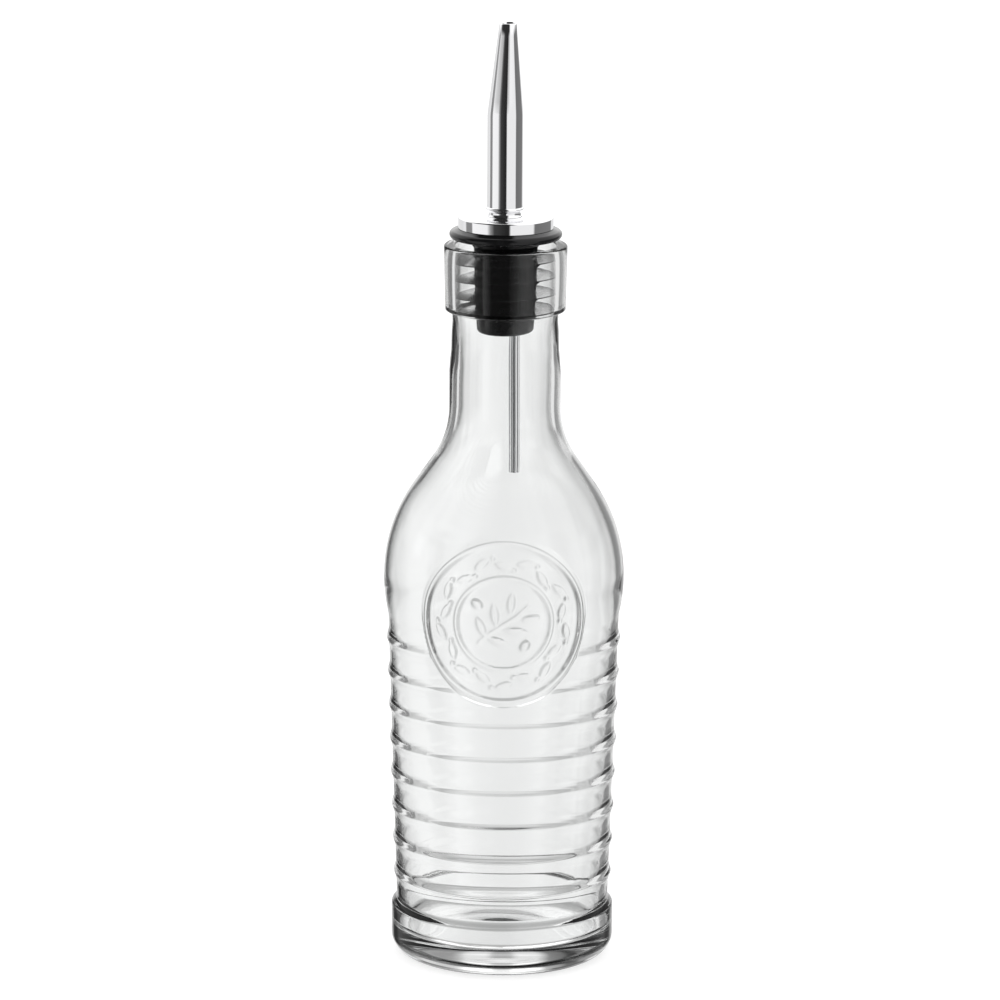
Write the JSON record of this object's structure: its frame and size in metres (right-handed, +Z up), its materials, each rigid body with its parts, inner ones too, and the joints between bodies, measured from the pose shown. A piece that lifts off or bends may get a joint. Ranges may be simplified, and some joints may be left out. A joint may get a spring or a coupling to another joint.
{
  "type": "oil and vinegar bottle",
  "caption": "Empty clear glass oil and vinegar bottle with ribbed sides, a round raised seal, a black stopper and a straight steel pouring spout.",
  "frame": {"origin": "centre of the foot, on the surface that the bottle stands on", "axes": "+Z up along the bottle's axis, -Y the front with the round seal, +X to the right seen from the front"},
  "size_m": [0.0648, 0.0656, 0.256],
  "materials": {
    "clear_glass": "clear smooth glass",
    "black_stopper": "smooth black moulding",
    "polished_steel": "polished stainless steel"
  },
  "bodies": {
    "root": {"bottle": "clear_glass", "stopper": "black_stopper", "pourer_cap": "polished_steel", "spout": "polished_steel", "air_tube": "polished_steel"}
  },
  "joints": []
}
